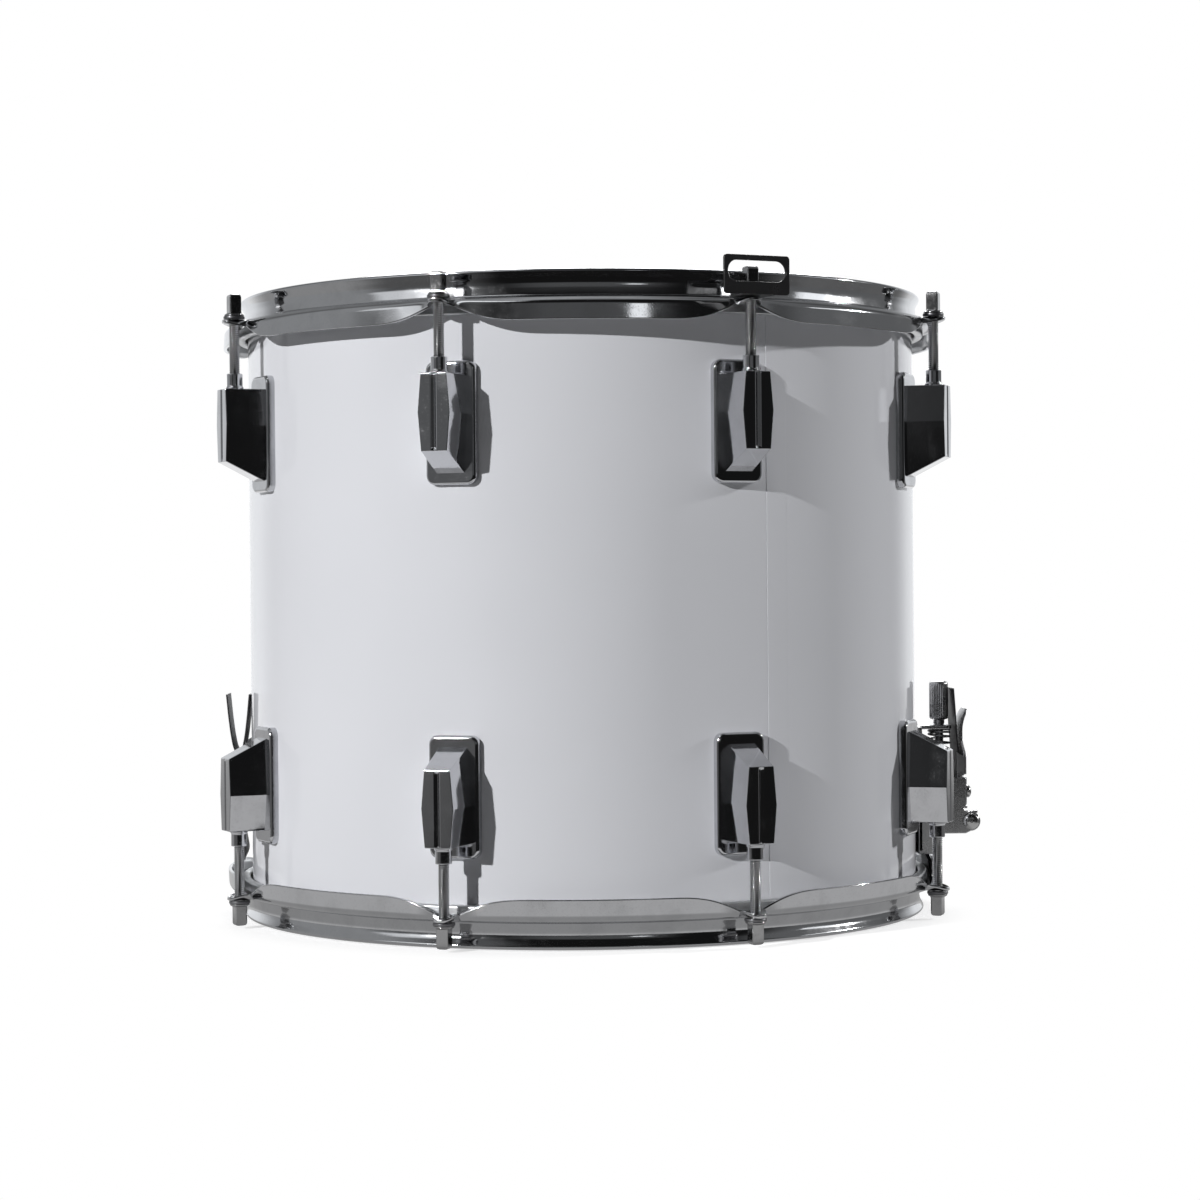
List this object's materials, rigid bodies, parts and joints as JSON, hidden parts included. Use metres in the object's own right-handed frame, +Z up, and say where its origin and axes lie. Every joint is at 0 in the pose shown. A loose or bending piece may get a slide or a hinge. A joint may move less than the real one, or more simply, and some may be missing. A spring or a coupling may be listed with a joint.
{
  "type": "marching snare drum",
  "caption": "Deep marching snare drum in white wrap with chrome hoops, long tension rods, lever strainer and a black sling bracket.",
  "frame": {"origin": "centre of the batter head's playing surface", "axes": "+Z up out of the batter head, +X towards the strainer, -X towards the butt, -Y towards the side with the sling bracket"},
  "size_m": [0.4024, 0.3883, 0.3295],
  "materials": {
    "shell_wood": "clear sealed maple plies",
    "white_wrap": "polished white sheet",
    "vent_metal": "polished",
    "batter_film": "white film, slightly coated",
    "snare_film": "thin hazy film",
    "flesh_hoop_metal": "mill finish",
    "hoop_chrome": "polished chrome plate",
    "lug_chrome": "polished chrome plate",
    "rod_chrome": "polished chrome plate",
    "bracket_black": "black powder coat",
    "strainer_chrome": "polished chrome plate",
    "fastener_steel": "plated steel",
    "spring_steel": "bright drawn wire",
    "strap_black": "satin plastic strip",
    "snare_steel": "drawn wire, soldered"
  },
  "bodies": {
    "drum": {"shell": "shell_wood", "shell_wrap": "white_wrap", "vent_grommet": "vent_metal", "batter_head": "batter_film", "snare_head": "snare_film", "batter_flesh_hoop": "flesh_hoop_metal", "snare_flesh_hoop": "flesh_hoop_metal", "batter_hoop": "hoop_chrome", "snare_hoop": "hoop_chrome", "batter_lug_1": "lug_chrome", "snare_lug_1": "lug_chrome", "batter_lug_2": "lug_chrome", "snare_lug_2": "lug_chrome", "batter_lug_3": "lug_chrome", "snare_lug_3": "lug_chrome", "batter_lug_4": "lug_chrome", "snare_lug_4": "lug_chrome", "batter_lug_5": "lug_chrome", "snare_lug_5": "lug_chrome", "batter_lug_6": "lug_chrome", "snare_lug_6": "lug_chrome", "batter_lug_7": "lug_chrome", "snare_lug_7": "lug_chrome", "batter_lug_8": "lug_chrome", "snare_lug_8": "lug_chrome", "sling_bracket": "bracket_black", "strainer_base": "strainer_chrome", "butt_base": "strainer_chrome", "butt_clamp_plate": "strainer_chrome", "butt_clamp_screw_front": "fastener_steel", "butt_clamp_screw_back": "fastener_steel", "strainer_spring": "spring_steel", "strainer_strap": "strap_black", "butt_strap": "strap_black", "snare_wires": "snare_steel"},
    "strainer_knob": {"strainer_knob": "strainer_chrome"},
    "strainer_carriage": {"strainer_carriage": "strainer_chrome", "strainer_pivot_screw_front": "fastener_steel", "strainer_pivot_screw_back": "fastener_steel"},
    "strainer_lever": {"strainer_lever": "strainer_chrome"},
    "strainer_clamp": {"strainer_clamp_block": "strainer_chrome", "strainer_clamp_plate": "strainer_chrome", "strainer_clamp_screw_front": "fastener_steel", "strainer_clamp_screw_back": "fastener_steel"},
    "batter_rod_1": {"batter_tension_rod_1": "rod_chrome"},
    "batter_rod_2": {"batter_tension_rod_2": "rod_chrome"},
    "batter_rod_3": {"batter_tension_rod_3": "rod_chrome"},
    "batter_rod_4": {"batter_tension_rod_4": "rod_chrome"},
    "batter_rod_5": {"batter_tension_rod_5": "rod_chrome"},
    "batter_rod_6": {"batter_tension_rod_6": "rod_chrome"},
    "batter_rod_7": {"batter_tension_rod_7": "rod_chrome"},
    "batter_rod_8": {"batter_tension_rod_8": "rod_chrome"},
    "snare_rod_1": {"snare_tension_rod_1": "rod_chrome"},
    "snare_rod_2": {"snare_tension_rod_2": "rod_chrome"},
    "snare_rod_3": {"snare_tension_rod_3": "rod_chrome"},
    "snare_rod_4": {"snare_tension_rod_4": "rod_chrome"},
    "snare_rod_5": {"snare_tension_rod_5": "rod_chrome"},
    "snare_rod_6": {"snare_tension_rod_6": "rod_chrome"},
    "snare_rod_7": {"snare_tension_rod_7": "rod_chrome"},
    "snare_rod_8": {"snare_tension_rod_8": "rod_chrome"}
  },
  "joints": [
    {"name": "batter_rod_1_turn", "type": "hinge", "parent": "drum", "child": "batter_rod_1", "pos_m": [0.17951, 0.07436, -0.0231], "axis": [0, 0, 1], "continuous": true},
    {"name": "batter_rod_2_turn", "type": "hinge", "parent": "drum", "child": "batter_rod_2", "pos_m": [0.07436, 0.17951, -0.0231], "axis": [0, 0, 1], "continuous": true},
    {"name": "batter_rod_3_turn", "type": "hinge", "parent": "drum", "child": "batter_rod_3", "pos_m": [-0.07436, 0.17951, -0.0231], "axis": [0, 0, 1], "continuous": true},
    {"name": "batter_rod_4_turn", "type": "hinge", "parent": "drum", "child": "batter_rod_4", "pos_m": [-0.17951, 0.07436, -0.0231], "axis": [0, 0, 1], "continuous": true},
    {"name": "batter_rod_5_turn", "type": "hinge", "parent": "drum", "child": "batter_rod_5", "pos_m": [-0.17951, -0.07436, -0.0231], "axis": [0, 0, 1], "continuous": true},
    {"name": "batter_rod_6_turn", "type": "hinge", "parent": "drum", "child": "batter_rod_6", "pos_m": [-0.07436, -0.17951, -0.0231], "axis": [0, 0, 1], "continuous": true},
    {"name": "batter_rod_7_turn", "type": "hinge", "parent": "drum", "child": "batter_rod_7", "pos_m": [0.07436, -0.17951, -0.0231], "axis": [0, 0, 1], "continuous": true},
    {"name": "batter_rod_8_turn", "type": "hinge", "parent": "drum", "child": "batter_rod_8", "pos_m": [0.17951, -0.07436, -0.0231], "axis": [0, 0, 1], "continuous": true},
    {"name": "snare_rod_1_turn", "type": "hinge", "parent": "drum", "child": "snare_rod_1", "pos_m": [0.17951, 0.07436, -0.2831], "axis": [0, 0, 1], "continuous": true},
    {"name": "snare_rod_2_turn", "type": "hinge", "parent": "drum", "child": "snare_rod_2", "pos_m": [0.07436, 0.17951, -0.2831], "axis": [0, 0, 1], "continuous": true},
    {"name": "snare_rod_3_turn", "type": "hinge", "parent": "drum", "child": "snare_rod_3", "pos_m": [-0.07436, 0.17951, -0.2831], "axis": [0, 0, 1], "continuous": true},
    {"name": "snare_rod_4_turn", "type": "hinge", "parent": "drum", "child": "snare_rod_4", "pos_m": [-0.17951, 0.07436, -0.2831], "axis": [0, 0, 1], "continuous": true},
    {"name": "snare_rod_5_turn", "type": "hinge", "parent": "drum", "child": "snare_rod_5", "pos_m": [-0.17951, -0.07436, -0.2831], "axis": [0, 0, 1], "continuous": true},
    {"name": "snare_rod_6_turn", "type": "hinge", "parent": "drum", "child": "snare_rod_6", "pos_m": [-0.07436, -0.17951, -0.2831], "axis": [0, 0, 1], "continuous": true},
    {"name": "snare_rod_7_turn", "type": "hinge", "parent": "drum", "child": "snare_rod_7", "pos_m": [0.07436, -0.17951, -0.2831], "axis": [0, 0, 1], "continuous": true},
    {"name": "snare_rod_8_turn", "type": "hinge", "parent": "drum", "child": "snare_rod_8", "pos_m": [0.17951, -0.07436, -0.2831], "axis": [0, 0, 1], "continuous": true},
    {"name": "strainer_knob_turn", "type": "hinge", "parent": "drum", "child": "strainer_knob", "pos_m": [0.1932, 0, -0.2193], "axis": [0, 0, 1], "range_deg": [-1810, 1450]},
    {"name": "strainer_carriage_slide", "type": "slide", "parent": "drum", "child": "strainer_carriage", "axis": [0, 0, 1], "range_m": [-0.0032, 0.004], "deforming": ["strainer_spring", "strainer_strap"]},
    {"name": "strainer_lever_throw", "type": "hinge", "parent": "strainer_carriage", "child": "strainer_lever", "pos_m": [0.2063, 0, -0.2702], "axis": [0, 1, 0], "range_deg": [0, 90]},
    {"name": "strainer_clamp_drop", "type": "slide", "parent": "strainer_carriage", "child": "strainer_clamp", "axis": [0, 0, 1], "range_m": [-0.00311, 0]}
  ],
  "couplings": [
    {"joint": "strainer_knob_turn", "follows": "strainer_carriage_slide", "rad_per_m": -7854},
    {"joint": "strainer_lever_throw", "follows": "strainer_clamp_drop", "rad_per_m": -505.05}
  ]
}
